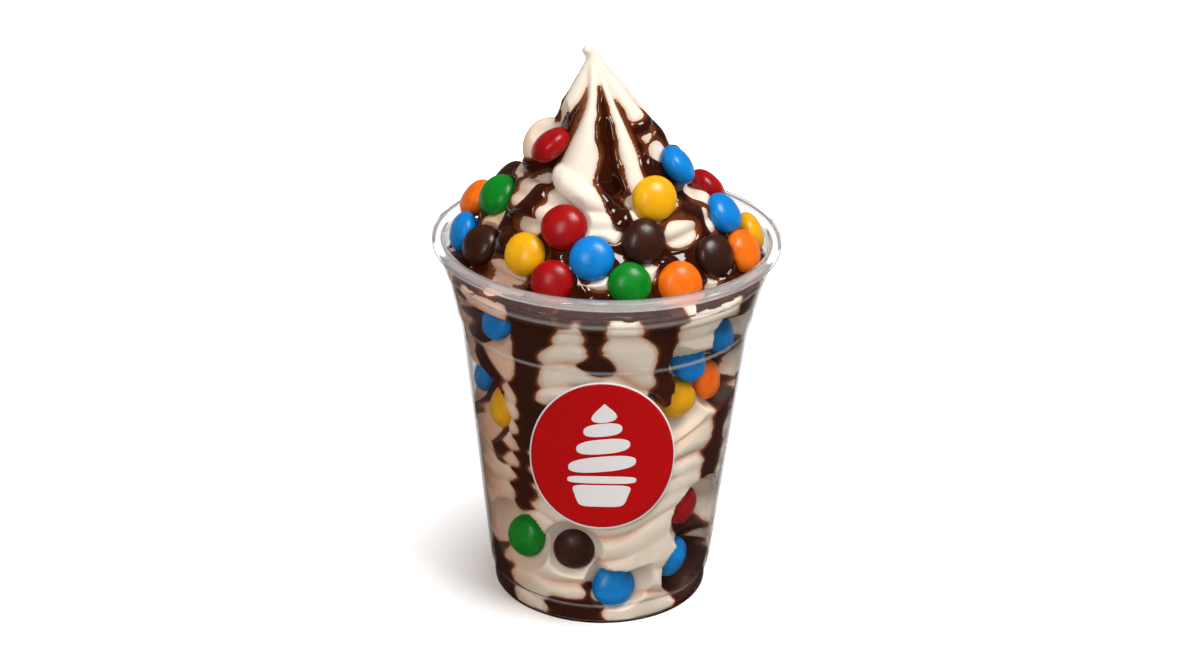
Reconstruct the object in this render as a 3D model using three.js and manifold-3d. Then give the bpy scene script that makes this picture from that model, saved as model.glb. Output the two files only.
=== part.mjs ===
// A chocolate-sauce sundae in its clear cup: vanilla soft serve filled to the brim and swirled
// up to a point, sauce run down its grooves and down the inside of the cup, and candy-coated
// chocolate drops, scattered on the heap and pressed against the cup's wall.
//
// Millimetres, +Z up, the cup's foot at Z = 0 and its axis on Z. The front is -Y. Angles "round
// the cup" are degrees from the front, growing towards +X.
import * as THREE from "three";
import { mergeVertices } from "three/addons/utils/BufferGeometryUtils.js";
import Module from "manifold-3d";

const wasm = await Module();
wasm.setup();

// ---------------------------------------------------------------- driving dimensions

const CUP_HEIGHT = 109;
const RIM_RADIUS = 49; // outside of the rolled rim
const RIM_HEIGHT = 2.6;
const WALL = 0.8;
const FOOT_RADIUS = 31;
const SHOULDER_RADIUS = 41; // where the straight wall ends under the stacking ring
const SHOULDER_Z = 83.5;
const BAND_RADIUS = 45.6; // the lid band under the rim
const BAND_Z = 100;
const PUNT_DEPTH = 2.6; // how far the cup's bottom is raised inside its foot
const PUNT_RADIUS = 27.5;

const GAP = 0.35; // clearance kept between pieces that touch

const FILL_Z = 101; // where the filling meets the wall
const TIP_Z = 163.8; // top of the swirl
const TIP_LEAN = -5.2; // how far the tip leans towards -X
const CROWN_BASE_Z = 119;
// The grooves between the crown's lobes, as angles round the crown's own axis at its top.
const CROWN_GROOVES = [-58, 8, 56, 104, 154, 204, 252, 302];
const CROWN_SWING = 12; // by how much they swing towards +X on their way down
const RIDGE_PITCH = 5.3; // height of one ridge of the coil against the wall
const RIDGE_DEPTH = 1.5;

const CANDY_RADIUS = 6.05;
const CANDY_HALF_THICKNESS = 3.7;
const HOLLOW_RADIUS = 7.25; // across the corners of the seven-sided hollow round a candy
const HOLLOW_CLEARANCE = 1.3; // behind the candy's middle

const DEG = Math.PI / 180;

// ---------------------------------------------------------------- helpers

// A point at an angle round the cup, a distance from its axis and a height.
function around(angle, radius, z) {
  return new THREE.Vector3(radius * Math.sin(angle * DEG), -radius * Math.cos(angle * DEG), z);
}

// A three.js geometry as a solid that can be joined and cut.
function solid(geometry) {
  const bare = geometry.index ? geometry.toNonIndexed() : geometry.clone();
  bare.deleteAttribute("normal");
  bare.deleteAttribute("uv");
  const merged = mergeVertices(bare, 1e-4);
  return new wasm.Manifold(
    new wasm.Mesh({
      numProp: 3,
      vertProperties: merged.attributes.position.array,
      triVerts: new Uint32Array(merged.index.array),
    }),
  );
}

// The largest body of a solid, as a geometry. Scraps that a cut leaves loose and bubbles that a
// join seals are dropped.
function geometryOf(shape) {
  const bodies = shape.decompose().sort((a, b) => b.volume() - a.volume());
  const mesh = bodies[0].getMesh();
  const geometry = new THREE.BufferGeometry();
  geometry.setAttribute("position", new THREE.BufferAttribute(mesh.vertProperties, 3));
  geometry.setIndex(new THREE.BufferAttribute(mesh.triVerts, 1));
  geometry.computeVertexNormals();
  return geometry;
}

function union(shapes) {
  return shapes.reduce((joined, shape) => joined.add(shape));
}

// A closed skin of rings. point(row, turn) gives its points, with row and turn running from 0 to
// 1; the first and the last row are single points. Turn runs anticlockwise seen from the last row.
function skin(rows, columns, point) {
  const positions = [];
  const index = [];
  positions.push(...point(0, 0).toArray());
  for (let row = 1; row < rows; row++) {
    for (let column = 0; column < columns; column++) {
      positions.push(...point(row / rows, column / columns).toArray());
    }
  }
  positions.push(...point(1, 0).toArray());
  const last = positions.length / 3 - 1;
  const at = (row, column) => 1 + (row - 1) * columns + (column % columns);
  for (let column = 0; column < columns; column++) {
    index.push(0, at(1, column + 1), at(1, column));
    for (let row = 1; row < rows - 1; row++) {
      const a = at(row, column);
      const b = at(row, column + 1);
      const c = at(row + 1, column + 1);
      const d = at(row + 1, column);
      index.push(a, b, c, a, c, d);
    }
    index.push(last, at(rows - 1, column), at(rows - 1, column + 1));
  }
  const geometry = new THREE.BufferGeometry();
  geometry.setAttribute("position", new THREE.BufferAttribute(new Float32Array(positions), 3));
  geometry.setIndex(index);
  return geometry;
}

// Straight-line interpolation through [x, y] pairs in rising x.
function along(pairs, x) {
  if (x <= pairs[0][0]) return pairs[0][1];
  for (let i = 1; i < pairs.length; i++) {
    const [x0, y0] = pairs[i - 1];
    const [x1, y1] = pairs[i];
    if (x <= x1) return y0 + ((y1 - y0) * (x - x0)) / (x1 - x0);
  }
  return pairs[pairs.length - 1][1];
}

// 1 inside a band of that half-width round zero, falling smoothly to 0 over the edge.
function band(distance, halfWidth, edge) {
  return 1 - THREE.MathUtils.smoothstep(Math.abs(distance), halfWidth, halfWidth + edge);
}

// The difference of two angles, from -180 to 180 degrees.
function turnBetween(a, b) {
  return ((((a - b + 180) % 360) + 360) % 360) - 180;
}

// ---------------------------------------------------------------- the clear cup

// The outside of the wall as [height, radius]: foot, straight taper, stacking ring, lid band.
const WALL_OUTSIDE = [
  [0, FOOT_RADIUS],
  [6.2, FOOT_RADIUS + 0.4],
  [7.2, FOOT_RADIUS + 1.2],
  [13.6, FOOT_RADIUS + 2.0],
  [SHOULDER_Z, SHOULDER_RADIUS],
  [SHOULDER_Z + 2, SHOULDER_RADIUS + 0.9],
  [SHOULDER_Z + 3, SHOULDER_RADIUS + 1.1],
  [BAND_Z - 0.6, BAND_RADIUS - 0.5],
  [BAND_Z + 0.3, BAND_RADIUS + 0.2],
  [BAND_Z + 1.2, BAND_RADIUS],
  [CUP_HEIGHT - RIM_HEIGHT, BAND_RADIUS + 0.3],
];
const FLOOR_Z = PUNT_DEPTH + WALL;

function wallInside(z) {
  return along(WALL_OUTSIDE, z) - WALL;
}

function cupGeometry() {
  const rimInside = BAND_RADIUS + 0.3 - WALL;
  const profile = [
    [0, PUNT_DEPTH],
    [PUNT_RADIUS, PUNT_DEPTH],
    [PUNT_RADIUS + 0.8, 0],
    ...WALL_OUTSIDE.map(([z, radius]) => [radius, z]),
    [RIM_RADIUS - 0.4, CUP_HEIGHT - RIM_HEIGHT],
    [RIM_RADIUS, CUP_HEIGHT - RIM_HEIGHT + 0.5],
    [RIM_RADIUS, CUP_HEIGHT - 0.8],
    [RIM_RADIUS - 0.7, CUP_HEIGHT],
    [rimInside + 0.9, CUP_HEIGHT],
    [rimInside, CUP_HEIGHT - 0.9],
    ...WALL_OUTSIDE.slice(1)
      .reverse()
      .map(([z, radius]) => [radius - WALL, z]),
    [FOOT_RADIUS - WALL, FLOOR_Z],
    [0, FLOOR_Z],
  ];
  const points = profile.map(([radius, z]) => new THREE.Vector2(radius, z));
  return new THREE.LatheGeometry(points, 36).rotateX(Math.PI / 2);
}

// ---------------------------------------------------------------- the sauce's runs

// Runs down the inside of the wall: angle at the top, angle at the end, height of the end, half
// width. They start at the brim and end in a drop.
const WALL_RUNS = [
  [-54, -52, 74, 3.0],
  [-28, -37, 36, 3.8],
  [-3, -3, 85, 3.2],
  [20, 26, 73, 4.0],
  [63, 57, 18, 4.4],
  [-80, -84, 56, 3.6],
  [88, 92, 60, 3.2],
  [118, 112, 30, 3.4],
  [150, 156, 66, 3.0],
  [182, 176, 24, 3.6],
  [214, 220, 58, 3.0],
  [246, 240, 34, 3.4],
];
// Puddles at the foot: angle, half width in degrees, height.
const FOOT_POOLS = [
  [-60, 13, 15],
  [-13, 17, 7],
  [62, 20, 12],
  [140, 22, 9],
  [-140, 18, 13],
];
// Runs down the crown's grooves, as angles round its own axis: angle and height of the start,
// angle and height of the end, half width at the end.
const CROWN_RUNS = [
  [-50, 151, -57, 112, 3.6],
  [15, 151, 8, 121, 4.2],
  [66, 149, 57, 108, 4.0],
  [-108, 148, -96, 112, 3.2],
  [108, 149, 112, 110, 3.4],
  [156, 150, 162, 108, 3.2],
  [204, 150, 212, 110, 3.4],
];

// How far a spot on the wall lies inside a run of sauce or a puddle, from 0 to 1.
function sauceOnWall(angle, z) {
  const radius = wallInside(z);
  let cover = band(z - (FILL_Z + 3), 5, 2);
  for (const [topAngle, endAngle, endZ, halfWidth] of WALL_RUNS) {
    const down = THREE.MathUtils.clamp((FILL_Z - z) / (FILL_Z - endZ), 0, 1);
    const middle = topAngle + (endAngle - topAngle) * down;
    const aside = turnBetween(angle, middle) * DEG * radius;
    const below = Math.max(0, endZ - z);
    cover = Math.max(cover, band(Math.hypot(aside, below), halfWidth, 1.2));
  }
  for (const [middle, halfAngle, height] of FOOT_POOLS) {
    const inside = band(turnBetween(angle, middle), halfAngle, 4) * band(z, height, 2);
    cover = Math.max(cover, inside);
  }
  return cover;
}

// ---------------------------------------------------------------- the soft serve

// The filling under the brim: a coil pressed against the wall, whose ridges run round it one
// above the other. The sauce's runs fill the grooves between them.
function fillingGeometry() {
  const levels = [];
  for (let z = FLOOR_Z + GAP; z < FILL_Z - 1; z += RIDGE_PITCH / 2) levels.push(z);
  levels.push(FILL_Z);
  const rise = [
    [FILL_Z + 1.2, 39],
    [FILL_Z + 4, 33],
    [FILL_Z + 12, 22],
  ];
  const rows = levels.length + rise.length + 1;
  return skin(rows, 28, (row, turn) => {
    const n = Math.round(row * rows);
    const angle = turn * 360;
    if (n === 0) return new THREE.Vector3(0, 0, levels[0]);
    if (n === rows) return new THREE.Vector3(0, 0, FILL_Z + 14);
    if (n > levels.length) {
      const [z, radius] = rise[n - levels.length - 1];
      return around(angle, radius, z);
    }
    const z = levels[n - 1];
    const inGroove = n % 2 === 0 && n < levels.length ? 1 : 0;
    const uneven = 0.75 + 0.25 * Math.sin(3 * angle * DEG + n);
    const depth = RIDGE_DEPTH * inGroove * uneven * (1 - sauceOnWall(angle, z));
    return around(angle, wallInside(z) - GAP - depth, z);
  });
}

// Lobes with sharp creases between them, as a share of the radius: depth is that of the creases,
// and lobes counts how many lobes have gone by.
function lobed(lobes, depth) {
  return 1 - depth * (1 - Math.abs(Math.sin(Math.PI * lobes)) ** 0.8);
}

// How many of the crown's lobes lie between its first groove and an angle.
function crownLobes(angle) {
  const turned = ((((angle - CROWN_GROOVES[0]) % 360) + 360) % 360) + CROWN_GROOVES[0];
  return along(CROWN_GROOVES.map((groove, i) => [groove, i]), turned);
}

// The piped rope on top of the filling, one turn on another, narrowing as it climbs.
const ROPE_TURNS = 1.75;
const ROPE_STRETCHES = 4; // joined stretches, each short enough to stay clear of itself
const ROPE_OVERLAP = 0.04; // turns by which they run into each other
const ROPE_RADIUS = 9.7;
const ROPE_LOBES = 7;
const ROPE_START = 150; // angle round the cup where it leaves the wall
function ropeAt(turns) {
  const share = turns / ROPE_TURNS;
  return {
    angle: ROPE_START - 360 * turns,
    reach: 31 - 12.5 * share,
    z: 101.5 + 18.5 * share,
    radius: ROPE_RADIUS,
  };
}

// One stretch of the rope, with both ends rounded off.
function ropeStretch(from, to) {
  const rows = 10;
  return skin(rows, 14, (row, turn) => {
    const { angle, reach, z, radius } = ropeAt(from + (to - from) * row);
    const taper = Math.sqrt(Math.max(0, 1 - Math.abs(2 * row - 1) ** 8));
    const section = 2 * Math.PI * turn;
    const size = radius * taper * lobed(turn * ROPE_LOBES, 0.2);
    return around(angle, reach + size * Math.cos(section), z + size * Math.sin(section));
  });
}

// The crown: the rope's last length, drawn up to a point, with its lobes running down from it.
const CROWN_OUTLINE = [
  [CROWN_BASE_Z, 17.5],
  [122, 21],
  [126, 22],
  [130, 21],
  [135, 18.2],
  [140, 15.4],
  [145, 12],
  [150, 8.6],
  [155, 5.2],
  [159, 2.7],
  [161, 1.7],
  [162.6, 2.0],
];
function crownAxis(z) {
  const up = THREE.MathUtils.clamp((z - CROWN_BASE_Z) / (TIP_Z - CROWN_BASE_Z), 0, 1);
  return TIP_LEAN * up ** 1.4;
}
// The crown's columns, four to a lobe, the first of them in a groove.
function crownAngle(turn) {
  return along(CROWN_GROOVES.map((groove, i) => [i / (CROWN_GROOVES.length - 1), groove]), turn);
}
function crownGeometry() {
  const heights = CROWN_OUTLINE.map(([z]) => z);
  const rows = heights.length + 1;
  return skin(rows, 28, (row, turn) => {
    const n = Math.round(row * rows);
    if (n === 0) return new THREE.Vector3(0, 0, CROWN_BASE_Z - 4);
    if (n === rows) return new THREE.Vector3(TIP_LEAN - 0.4, 0, TIP_Z);
    const [z, radius] = CROWN_OUTLINE[n - 1];
    const swing = CROWN_SWING * ((TIP_Z - z) / (TIP_Z - CROWN_BASE_Z)) ** 3;
    const angle = crownAngle(turn);
    const depth = along([[119, 0.18], [130, 0.27], [150, 0.22], [161, 0]], z);
    const lobe = lobed(crownLobes(angle), depth);
    return around(angle + swing, radius * lobe, z).add(new THREE.Vector3(crownAxis(z), 0, 0));
  });
}

// Fat folds that the rope's lobes leave round the crown's foot, sloping down towards +X: angle
// and height of the upper end, angle and height of the lower end, distance from the axis, radius.
const FOLDS = [
  [-48, 133, 12, 124.5, 17.5, 5.8],
  [-125, 137, -72, 129, 16, 7.2],
  [98, 135, 152, 127, 16.5, 6.2],
  [186, 136, 240, 127, 16.5, 6.4],
];

// One fold: a strand that is thickest near its lower end.
function foldGeometry([startAngle, startZ, endAngle, endZ, reach, thickest]) {
  const rows = 7;
  return skin(rows, 8, (row, turn) => {
    const section = -2 * Math.PI * turn;
    const size = thickest * Math.sin(Math.PI * row ** 1.3) ** 0.7;
    const angle = startAngle + (endAngle - startAngle) * row;
    const z = startZ + (endZ - startZ) * row;
    return around(angle, reach + size * Math.cos(section), z + size * Math.sin(section));
  });
}

// How far the heap reaches from its axis at each height, over which the sauce runs.
const HEAP_OUTLINE = [
  [FILL_Z, 43],
  [103, 38.5],
  [107, 36.5],
  [112, 32],
  [117, 26],
  [122, 23],
  [128, 20.5],
  [134, 17.6],
  [140, 14.2],
  [145, 11],
  [150, 7.6],
  [153, 5.2],
];

// A run of sauce down the heap: a flattened strand half sunk in the surface, with a drop at its
// end.
function runGeometry([startAngle, startZ, endAngle, endZ, halfWidth]) {
  const rows = 8;
  return skin(rows, 6, (row, turn) => {
    const z = startZ + (endZ - startZ) * row;
    const angle = startAngle + (endAngle - startAngle) * row;
    const reach = along(HEAP_OUTLINE, z);
    const width = halfWidth * Math.sqrt(Math.min(1, row * 1.2)) * Math.sqrt(Math.max(0, 1 - row ** 10));
    const section = 2 * Math.PI * turn;
    const aside = (width * Math.cos(section)) / reach / DEG;
    const out = 1.5 * Math.min(1, width / 2) * Math.sin(section);
    return around(angle + aside, reach + out, z + 0.5 * out).add(
      new THREE.Vector3(crownAxis(z), 0, 0),
    );
  });
}

// ---------------------------------------------------------------- the candies

// A candy drop faces along its short axis: an angle round the cup and a rise above level.
function candyGeometry(size) {
  const rows = 4;
  return skin(rows, 8, (row, turn) => {
    const slope = Math.PI * (row - 0.5);
    const radius = CANDY_RADIUS * size * Math.cos(slope);
    return around(turn * 360, radius, CANDY_HALF_THICKNESS * size * Math.sin(slope));
  });
}

// On the heap, as they show from the front: colour, angle round the cup, distance from the axis,
// height, and then the way the candy faces, as angle and rise.
const ON_HEAP = [
  ["red", -61, 18.0, 137.8, -100, 50],
  ["blue", 63, 21.2, 133.1, 95, 40],
  ["yellow", 31, 24.4, 127.7, 14, 28],
  ["red", 98, 28.0, 121.6, 110, 42],
  ["green", -90, 30.4, 119.4, -52, 42],
  ["orange", -108, 38.9, 113.4, -84, 38],
  ["blue", -92, 40.2, 107.6, -80, 18],
  ["brown", -74, 36.0, 108.2, -48, 34],
  ["brown", -110, 29.4, 120.4, -110, 40],
  ["yellow", -41, 33.4, 112.5, -20, 28],
  ["red", -24, 28.4, 120.9, -10, 32],
  ["red", -23, 36.8, 108.4, -8, 24],
  ["blue", -7, 32.4, 114.6, -4, 30],
  ["brown", 19, 30.0, 118.2, 10, 26],
  ["green", 10, 36.6, 109.1, 4, 26],
  ["orange", 32, 37.4, 107.6, 14, 26],
  ["brown", 57, 35.0, 110.5, 34, 28],
  ["blue", 79, 32.8, 117.8, 66, 40],
  ["orange", 74, 39.2, 108.6, 60, 28],
  ["yellow", 94, 40.2, 108.6, 92, 22],
];
// On the side away from the viewer they are strewn by rule, from the back to both sides in steps
// of that angle and in two rows, as [distance from the axis, height]. The lower row starts
// further out, which leaves the brim free at the back.
const BEHIND = {
  step: 13,
  count: 8,
  rows: [[27.5, 120.5], [35.5, 109.5]],
  colours: ["green", "brown", "red", "yellow", "blue", "orange"],
};

// Against the wall: colour, angle round the cup, height, and how far the candy is turned from
// flat against the wall, sideways and upwards, in degrees.
const AT_WALL = [
  ["blue", -50, 93, -10, 25],
  ["blue", -82, 67.5, -20, 10],
  ["yellow", -57, 63, -16, 8],
  ["green", -48, 22, 8, 12],
  ["brown", -15, 22.9, 4, 10],
  ["blue", 8.5, 10.4, 6, 24],
  ["blue", 49, 15.5, 20, -14],
  ["red", 50.5, 33, 14, -12],
  ["yellow", 86, 40, 10, 6],
  ["orange", 55, 74, 12, 14],
  ["yellow", 35, 71.5, -12, -6],
  ["blue", 41, 82.5, 10, 30],
  ["blue", 59, 87.6, 8, 24],
  ["green", 110, 20, 8, 10],
  ["orange", 128, 52, -10, 12],
  ["red", 146, 88, 6, -14],
  ["yellow", 168, 40, 12, 8],
  ["blue", 196, 72, -8, 10],
  ["orange", 204, 22, 10, 16],
  ["green", 226, 90, 6, 12],
  ["red", 232, 46, -12, 8],
];

// The hollow that a candy leaves in the soft serve, a barrel round it with a little clearance.
// Against the wall the barrel runs on outwards, so that the candy shows.
function hollowGeometry(size, runsOut) {
  const reach = CANDY_HALF_THICKNESS * size + HOLLOW_CLEARANCE;
  const outer = runsOut ? reach + 8 : reach;
  const rings = [
    [-reach, 0],
    [-0.44 * reach, HOLLOW_RADIUS * size],
    [runsOut ? outer - 0.1 : 0.44 * reach, HOLLOW_RADIUS * size],
    [outer, 0],
  ];
  return skin(3, 7, (row, turn) => {
    const [z, radius] = rings[Math.round(row * 3)];
    return around(turn * 360, radius, z);
  });
}

// A candy as placed: its name, its geometry, and the solid of its hollow.
function placeCandy(name, colour, centre, faceAngle, faceRise, size, runsOut) {
  const facing = new THREE.Quaternion().setFromUnitVectors(
    new THREE.Vector3(0, 0, 1),
    around(faceAngle, Math.cos(faceRise * DEG), Math.sin(faceRise * DEG)),
  );
  const placed = (geometry) => geometry.applyQuaternion(facing).translate(...centre.toArray());
  return {
    name,
    colour,
    geometry: placed(candyGeometry(size)),
    hollow: solid(placed(hollowGeometry(size, runsOut))),
  };
}

// How far a turned candy reaches along a direction that makes this angle with its short axis.
function candyReach(turned, size) {
  return size * Math.hypot(CANDY_HALF_THICKNESS * Math.cos(turned), CANDY_RADIUS * Math.sin(turned));
}

// The candies' own small differences in size.
function unevenSize(n) {
  return 1 + 0.025 * Math.sin(2.4 * n + 0.7);
}

const candies = [];
for (const [colour, angle, reach, z, faceAngle, faceRise] of ON_HEAP) {
  const n = candies.length + 1;
  const name = `candy_${String(n).padStart(2, "0")}_${colour}`;
  const centre = around(angle, reach, z);
  candies.push(placeCandy(name, colour, centre, faceAngle, faceRise, unevenSize(n), false));
}
for (let i = 0; i < BEHIND.count; i++) {
  const n = candies.length + 1;
  const colour = BEHIND.colours[i % BEHIND.colours.length];
  const name = `candy_${String(n).padStart(2, "0")}_${colour}`;
  const side = i % 2 ? 1 : -1;
  const steps = 1 + Math.floor(i / 2);
  const angle = 180 + side * BEHIND.step * steps;
  const [reach, z] = BEHIND.rows[(steps - 1) % 2];
  const centre = around(angle, reach, z + 1.5 * Math.sin(3 * i));
  candies.push(placeCandy(name, colour, centre, angle, 38, unevenSize(n), false));
}
for (const [colour, angle, z, sideways, upwards] of AT_WALL) {
  const n = candies.length + 1;
  const name = `candy_${String(n).padStart(2, "0")}_${colour}`;
  const size = unevenSize(n);
  const taper = Math.atan2(SHOULDER_RADIUS - FOOT_RADIUS - 2, SHOULDER_Z - 13.6);
  const turned = Math.hypot(sideways, upwards) * DEG;
  const reach = wallInside(z) * Math.cos(taper) - candyReach(turned + taper, size) - 1.5 * GAP;
  const centre = around(angle, reach, z);
  candies.push(placeCandy(name, colour, centre, angle + sideways, upwards, size, true));
}

// ---------------------------------------------------------------- the finished sundae

const COLOURS = {
  red: 0xb3070f,
  blue: 0x0a78c2,
  yellow: 0xf5c400,
  green: 0x0f8a2a,
  orange: 0xf06a0c,
  brown: 0x3b1d16,
};

function finish(colour, roughness) {
  return new THREE.MeshStandardMaterial({ color: colour, roughness, metalness: 0 });
}

const ropes = [];
for (let i = 0; i < ROPE_STRETCHES; i++) {
  const from = (i * ROPE_TURNS) / ROPE_STRETCHES;
  const to = ((i + 1) * ROPE_TURNS) / ROPE_STRETCHES;
  ropes.push(solid(ropeStretch(from - ROPE_OVERLAP, to + ROPE_OVERLAP)));
}
const softServe = union([
  solid(fillingGeometry()),
  ...ropes,
  solid(crownGeometry()),
  ...FOLDS.map((fold) => solid(foldGeometry(fold))),
  ...CROWN_RUNS.map((run) => solid(runGeometry(run))),
]).subtract(union(candies.map((candy) => candy.hollow)));

const sundae = new THREE.Group();

const cup = new THREE.Mesh(geometryOf(solid(cupGeometry())), finish(0xe8eef0, 0.08));
cup.material.transparent = true;
cup.material.opacity = 0.3;
cup.name = "cup";
sundae.add(cup);

const filling = new THREE.Mesh(geometryOf(softServe), finish(0xf3e6d2, 0.45));
filling.name = "soft_serve";
sundae.add(filling);

for (const { name, colour, geometry } of candies) {
  const candy = new THREE.Mesh(geometry, finish(COLOURS[colour], 0.3));
  candy.name = name;
  sundae.add(candy);
}

export default sundae;
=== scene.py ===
# %% [markdown]
# # A chocolate sundae in a clear cup
# Vanilla soft serve is piped into a clear cup until it stands high above the brim and is drawn up
# to a point. Chocolate sauce runs down its grooves and down the inside of the cup, and coated
# chocolate candies lie on the heap and against the wall. All of it could be modelled by eye, but
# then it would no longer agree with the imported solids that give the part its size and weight. So
# this script loads those solids as its frame and puts a fine piece in each one's stead.

# %% Load the frame
import math

import bpy
import numpy as np
from mathutils import Matrix, Vector


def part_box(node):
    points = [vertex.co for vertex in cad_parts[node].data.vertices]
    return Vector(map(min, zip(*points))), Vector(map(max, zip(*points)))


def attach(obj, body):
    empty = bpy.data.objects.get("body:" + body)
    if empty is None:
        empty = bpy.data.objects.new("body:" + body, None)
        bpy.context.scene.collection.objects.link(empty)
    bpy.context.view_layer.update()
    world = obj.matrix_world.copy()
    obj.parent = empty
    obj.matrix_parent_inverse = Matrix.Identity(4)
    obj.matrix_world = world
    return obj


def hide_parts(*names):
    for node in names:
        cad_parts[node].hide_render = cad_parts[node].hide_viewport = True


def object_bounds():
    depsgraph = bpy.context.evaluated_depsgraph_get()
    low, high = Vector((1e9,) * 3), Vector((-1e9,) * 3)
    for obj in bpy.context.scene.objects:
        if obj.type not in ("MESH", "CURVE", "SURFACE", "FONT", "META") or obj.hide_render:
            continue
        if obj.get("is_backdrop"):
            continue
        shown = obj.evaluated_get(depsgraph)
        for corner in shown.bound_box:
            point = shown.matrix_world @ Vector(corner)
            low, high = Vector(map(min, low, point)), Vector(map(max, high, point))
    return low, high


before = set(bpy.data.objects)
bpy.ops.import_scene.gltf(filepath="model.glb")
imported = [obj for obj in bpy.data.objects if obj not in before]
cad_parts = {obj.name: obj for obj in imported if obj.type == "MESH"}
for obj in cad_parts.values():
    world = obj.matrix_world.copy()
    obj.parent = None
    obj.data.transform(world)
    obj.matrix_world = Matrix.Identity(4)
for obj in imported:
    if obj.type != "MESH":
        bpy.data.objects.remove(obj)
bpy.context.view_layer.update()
MM = 0.001  # the script works in millimetres and turns them into metres where a mesh is made
CANDY_NODES = sorted(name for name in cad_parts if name.startswith("candy"))
RIM_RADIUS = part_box("cup")[1].x / MM
CUP_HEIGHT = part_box("cup")[1].z / MM
TIP_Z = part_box("soft_serve")[1].z / MM
print(f"{len(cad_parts)} nodes; the cup is {CUP_HEIGHT:.0f} mm tall and the tip at {TIP_Z:.0f} mm")

# %% [markdown]
# The camera comes first, because it settles what has to be right. It could be placed by eye, but
# the rim, the rings and the foot are circles, and the ellipses that they make in a picture tell
# how far away and how high the camera is. Fitted to them it stands 0.7 m away and looks down by
# 25 degrees, slightly rolled. The focal length is for an image 1200 pixels wide.

# %% Camera
VIEW_DISTANCE = 0.7
VIEW_DOWN = math.radians(25.05)
VIEW_ROLL = math.radians(1.18)
VIEW_TARGET = Vector((-0.0013, 0, 0.0771))
FOCAL_PIXELS = 2455
IMAGE_WIDTH = 1200
camera = bpy.data.objects.new("camera", bpy.data.cameras.new("camera"))
bpy.context.scene.collection.objects.link(camera)
camera.data.sensor_width = 36
camera.data.lens = FOCAL_PIXELS / IMAGE_WIDTH * camera.data.sensor_width
forward = Vector((0, math.cos(VIEW_DOWN), -math.sin(VIEW_DOWN)))
camera.matrix_world = (
    Matrix.Translation(VIEW_TARGET - VIEW_DISTANCE * forward)
    @ forward.to_track_quat("-Z", "Y").to_matrix().to_4x4()
    @ Matrix.Rotation(VIEW_ROLL, 4, "Z")
)
camera.data.clip_start = 0.05
bpy.context.scene.camera = camera
print(f"lens {camera.data.lens:.1f} mm, {VIEW_DISTANCE} m away")

# %% [markdown]
# Almost everything here is round, so points are given by an angle round the cup, in degrees from
# the front and growing to the right, a distance from the axis and a height. A *skin* is a stack
# of such rings, closed by a single point at each end. Spin and Screw modifiers turn outlines too,
# but a skin's rings may also be uneven, so it makes the cup as well as a candy or the filling.
# numpy works out all its points at once.

# %% Points round the cup
def around(angle, radius, z):
    """Points from angle, distance from the axis and height, any of which may be arrays."""
    turned = np.radians(angle)
    return np.stack(np.broadcast_arrays(radius * np.sin(turned), -radius * np.cos(turned), z), -1)


# %% Skins
def skin(rings):
    """Points and faces of a closed skin. rings is rows x columns x 3; the end rows are poles."""
    rows, columns = rings.shape[:2]
    points = np.vstack([rings[0, :1], rings[1:-1].reshape(-1, 3), rings[-1, :1]])
    at = 1 + np.arange((rows - 2) * columns).reshape(rows - 2, columns)
    beside = np.roll(at, -1, axis=1)
    quads = np.stack([at[:-1], beside[:-1], beside[1:], at[1:]], -1).reshape(-1, 4)
    last = len(points) - 1
    start = np.stack([np.zeros(columns, int), beside[0], at[0]], -1)
    end = np.stack([np.full(columns, last), at[-1], beside[-1]], -1)
    return points, quads.tolist() + start.tolist() + end.tolist()


# %% Smooth steps, turns and ripples
def smooth_step(x, low, high):
    """0 below low, 1 above high and a smooth rise between them."""
    t = np.clip((x - low) / (high - low), 0, 1)
    return t * t * (3 - 2 * t)


def turn_between(a, b):
    """The difference of two angles, from -180 to 180 degrees."""
    return (a - b + 180) % 360 - 180


def ripples(points, wavelength, seed, waves=12):
    """A smooth random field of about unit size, from sine waves in random directions."""
    random = np.random.default_rng(seed)
    ways = random.normal(size=(waves, 3))
    ways *= 2 * np.pi / wavelength / np.linalg.norm(ways, axis=1)[:, None]
    phases = random.uniform(0, 2 * np.pi, waves)
    return np.sin(points @ ways.T + phases).sum(1) / math.sqrt(waves / 2)


# %% [markdown]
# A mesh becomes a piece of the sundae when it rides on the imported body, and the imported node
# that it stands for is hidden. Because the sundae has dozens of pieces, one function does both
# and reports what it got.

# %% Pieces
def new_object(name, points, faces, materials=()):
    """An object from points in millimetres and faces, with smooth shading."""
    mesh = bpy.data.meshes.new(name)
    mesh.from_pydata((np.asarray(points) * MM).tolist(), [], faces)
    mesh.polygons.foreach_set("use_smooth", np.ones(len(mesh.polygons), bool))
    mesh.update()
    made = bpy.data.objects.new(name, mesh)
    for material in materials:
        mesh.materials.append(material)
    bpy.context.scene.collection.objects.link(made)
    return made


def piece(made, slot, *nodes):
    """Puts the object on the root body and hides the nodes that it stands for.

    slot: not used.
    """
    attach(made, "root")
    if nodes:
        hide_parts(*nodes)
    print(f"{made.name}: {len(made.data.vertices)} vertices")


def add_field(made, name, values):
    """Stores one number for each vertex, which a material can read."""
    field = made.data.attributes.new(name, "FLOAT", "POINT")
    field.data.foreach_set("value", np.asarray(values, np.float32))


# %% [markdown]
# Materials are made of nodes. They could be linked by hand in the editor, but here they are
# written as sums, which are shorter to read. A *Wire* is the output of a shader node, and adding
# or multiplying wires adds the Math nodes that do it. *Paint* holds the nodes of one material and
# adds every other node. Numbers alone are worked out in Python, so no node is spent on them.

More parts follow.
